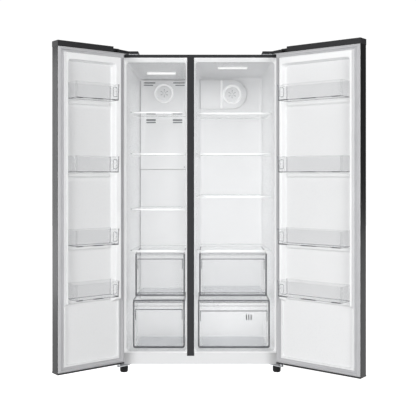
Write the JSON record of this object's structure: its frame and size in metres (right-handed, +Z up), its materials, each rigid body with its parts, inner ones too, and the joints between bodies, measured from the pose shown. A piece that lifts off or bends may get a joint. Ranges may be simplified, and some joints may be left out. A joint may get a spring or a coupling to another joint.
{
  "type": "side by side refrigerator",
  "caption": "Side by side refrigerator: narrow freezer and wide fridge, hinged doors with clear bins, glass shelves, sliding drawers.",
  "frame": {"origin": "on the floor, at the centre of the object's box with both doors fully open", "axes": "+X to the fridge side (the right as one faces it), +Y towards the back, +Z up; the doors face -Y"},
  "size_m": [1.6086, 1.0154, 1.78],
  "materials": {
    "graphite_steel": "satin, fine vertical brushing",
    "black_plastic": "fine grain",
    "mullion_grey": "satin",
    "white_liner": "soft gloss",
    "white_moulding": "soft gloss",
    "gasket_grey": "matte",
    "clear_plastic": "clear, polished",
    "shelf_glass": "clear",
    "lamp_white": "diffusing",
    "zinc_steel": "zinc plated",
    "bare_aluminium": "mill finish",
    "black_paint": "satin black",
    "condenser_black": "satin black",
    "grey_plastic": "fine grain"
  },
  "bodies": {
    "cabinet": {"back_panel": "zinc_steel", "base_pan": "zinc_steel", "bottom_hinge_left": "zinc_steel", "bottom_hinge_right": "zinc_steel", "cabinet_shell": "graphite_steel", "compressor": "black_paint", "condenser": "condenser_black", "drip_tray": "grey_plastic", "evaporator": "bare_aluminium", "evaporator_cover": "white_moulding", "evaporator_fan_motor": "grey_plastic", "freezer_drawer_cover": "shelf_glass", "freezer_lamp": "lamp_white", "freezer_liner": "white_liner", "fridge_drawer_cover": "shelf_glass", "fridge_duct_cover": "white_moulding", "fridge_lamp": "lamp_white", "fridge_liner": "white_liner", "hinge_cover_left": "black_plastic", "hinge_cover_right": "black_plastic", "kick_panel": "white_moulding", "machine_room_cover": "zinc_steel", "mullion_cover": "mullion_grey", "power_inlet": "black_plastic", "top_hinge_left": "zinc_steel", "top_hinge_right": "zinc_steel"},
    "freezer_door": {"freezer_door_shell": "graphite_steel", "freezer_door_liner": "white_liner", "freezer_door_gasket": "gasket_grey", "freezer_door_top_cap": "black_plastic", "freezer_door_bottom_cap": "black_plastic"},
    "freezer_door_bin_1": {"freezer_door_bin_1": "clear_plastic"},
    "freezer_door_bin_2": {"freezer_door_bin_2": "clear_plastic"},
    "freezer_door_bin_3": {"freezer_door_bin_3": "clear_plastic"},
    "freezer_door_bin_4": {"freezer_door_bin_4": "clear_plastic"},
    "freezer_drawer_upper": {"freezer_drawer_upper": "clear_plastic"},
    "freezer_drawer_lower": {"freezer_drawer_lower": "clear_plastic"},
    "freezer_shelf_1": {"freezer_shelf_1": "shelf_glass"},
    "freezer_shelf_2": {"freezer_shelf_2": "shelf_glass"},
    "freezer_shelf_3": {"freezer_shelf_3": "shelf_glass"},
    "fridge_door": {"fridge_door_shell": "graphite_steel", "fridge_door_liner": "white_liner", "fridge_door_gasket": "gasket_grey", "fridge_door_top_cap": "black_plastic", "fridge_door_bottom_cap": "black_plastic"},
    "fridge_door_bin_1": {"fridge_door_bin_1": "clear_plastic"},
    "fridge_door_bin_2": {"fridge_door_bin_2": "clear_plastic"},
    "fridge_door_bin_3": {"fridge_door_bin_3": "clear_plastic"},
    "fridge_door_bin_4": {"fridge_door_bin_4": "clear_plastic"},
    "fridge_drawer_upper": {"fridge_drawer_upper": "clear_plastic"},
    "fridge_drawer_lower": {"fridge_drawer_lower": "clear_plastic"},
    "fridge_shelf_1": {"fridge_shelf_1": "shelf_glass"},
    "fridge_shelf_2": {"fridge_shelf_2": "shelf_glass"},
    "fridge_shelf_3": {"fridge_shelf_3": "shelf_glass"},
    "evaporator_fan": {"evaporator_fan": "grey_plastic"},
    "condenser_fan": {"condenser_fan": "grey_plastic"},
    "front_foot_left": {"front_foot_left": "black_plastic"},
    "front_foot_right": {"front_foot_right": "black_plastic"},
    "rear_roller_left": {"rear_roller_left": "grey_plastic"},
    "rear_roller_right": {"rear_roller_right": "grey_plastic"}
  },
  "joints": [
    {"name": "freezer_door_hinge", "type": "hinge", "parent": "cabinet", "child": "freezer_door", "pos_m": [-0.48137, -0.13626, 0.9], "axis": [0, 0, -1], "range_deg": [-142, 0]},
    {"name": "fridge_door_hinge", "type": "hinge", "parent": "cabinet", "child": "fridge_door", "pos_m": [0.39863, -0.13626, 0.9], "axis": [0, 0, 1], "range_deg": [-142, 0]},
    {"name": "freezer_drawer_upper_slide", "type": "slide", "parent": "cabinet", "child": "freezer_drawer_upper", "axis": [0, -1, 0], "range_m": [0, 0.22]},
    {"name": "freezer_drawer_lower_slide", "type": "slide", "parent": "cabinet", "child": "freezer_drawer_lower", "axis": [0, -1, 0], "range_m": [0, 0.22]},
    {"name": "fridge_drawer_upper_slide", "type": "slide", "parent": "cabinet", "child": "fridge_drawer_upper", "axis": [0, -1, 0], "range_m": [0, 0.22]},
    {"name": "fridge_drawer_lower_slide", "type": "slide", "parent": "cabinet", "child": "fridge_drawer_lower", "axis": [0, -1, 0], "range_m": [0, 0.22]},
    {"name": "freezer_shelf_1_slide", "type": "slide", "parent": "cabinet", "child": "freezer_shelf_1", "axis": [0, -1, 0], "range_m": [0, 0.2]},
    {"name": "freezer_shelf_2_slide", "type": "slide", "parent": "cabinet", "child": "freezer_shelf_2", "axis": [0, -1, 0], "range_m": [0, 0.2]},
    {"name": "freezer_shelf_3_slide", "type": "slide", "parent": "cabinet", "child": "freezer_shelf_3", "axis": [0, -1, 0], "range_m": [0, 0.2]},
    {"name": "fridge_shelf_1_slide", "type": "slide", "parent": "cabinet", "child": "fridge_shelf_1", "axis": [0, -1, 0], "range_m": [0, 0.2]},
    {"name": "fridge_shelf_2_slide", "type": "slide", "parent": "cabinet", "child": "fridge_shelf_2", "axis": [0, -1, 0], "range_m": [0, 0.2]},
    {"name": "fridge_shelf_3_slide", "type": "slide", "parent": "cabinet", "child": "fridge_shelf_3", "axis": [0, -1, 0], "range_m": [0, 0.2]},
    {"name": "freezer_door_bin_1_lift", "type": "slide", "parent": "freezer_door", "child": "freezer_door_bin_1", "axis": [0, 0, 1], "range_m": [0, 0.03]},
    {"name": "freezer_door_bin_2_lift", "type": "slide", "parent": "freezer_door", "child": "freezer_door_bin_2", "axis": [0, 0, 1], "range_m": [0, 0.03]},
    {"name": "freezer_door_bin_3_lift", "type": "slide", "parent": "freezer_door", "child": "freezer_door_bin_3", "axis": [0, 0, 1], "range_m": [0, 0.03]},
    {"name": "freezer_door_bin_4_lift", "type": "slide", "parent": "freezer_door", "child": "freezer_door_bin_4", "axis": [0, 0, 1], "range_m": [0, 0.03]},
    {"name": "fridge_door_bin_1_lift", "type": "slide", "parent": "fridge_door", "child": "fridge_door_bin_1", "axis": [0, 0, 1], "range_m": [0, 0.03]},
    {"name": "fridge_door_bin_2_lift", "type": "slide", "parent": "fridge_door", "child": "fridge_door_bin_2", "axis": [0, 0, 1], "range_m": [0, 0.03]},
    {"name": "fridge_door_bin_3_lift", "type": "slide", "parent": "fridge_door", "child": "fridge_door_bin_3", "axis": [0, 0, 1], "range_m": [0, 0.03]},
    {"name": "fridge_door_bin_4_lift", "type": "slide", "parent": "fridge_door", "child": "fridge_door_bin_4", "axis": [0, 0, 1], "range_m": [0, 0.03]},
    {"name": "evaporator_fan_spin", "type": "hinge", "parent": "cabinet", "child": "evaporator_fan", "pos_m": [-0.26487, 0.36174, 1.5865], "axis": [0, 1, 0], "continuous": true},
    {"name": "condenser_fan_spin", "type": "hinge", "parent": "cabinet", "child": "condenser_fan", "pos_m": [-0.17137, 0.37874, 0.16], "axis": [1, 0, 0], "continuous": true},
    {"name": "front_foot_left_turn", "type": "hinge", "parent": "cabinet", "child": "front_foot_left", "pos_m": [-0.46487, -0.05026, 0], "axis": [0, 0, 1], "continuous": true},
    {"name": "front_foot_right_turn", "type": "hinge", "parent": "cabinet", "child": "front_foot_right", "pos_m": [0.38213, -0.05026, 0], "axis": [0, 0, 1], "continuous": true},
    {"name": "rear_roller_left_roll", "type": "hinge", "parent": "cabinet", "child": "rear_roller_left", "pos_m": [-0.44137, 0.44374, 0.022], "axis": [1, 0, 0], "continuous": true},
    {"name": "rear_roller_right_roll", "type": "hinge", "parent": "cabinet", "child": "rear_roller_right", "pos_m": [0.35863, 0.44374, 0.022], "axis": [1, 0, 0], "continuous": true}
  ]
}
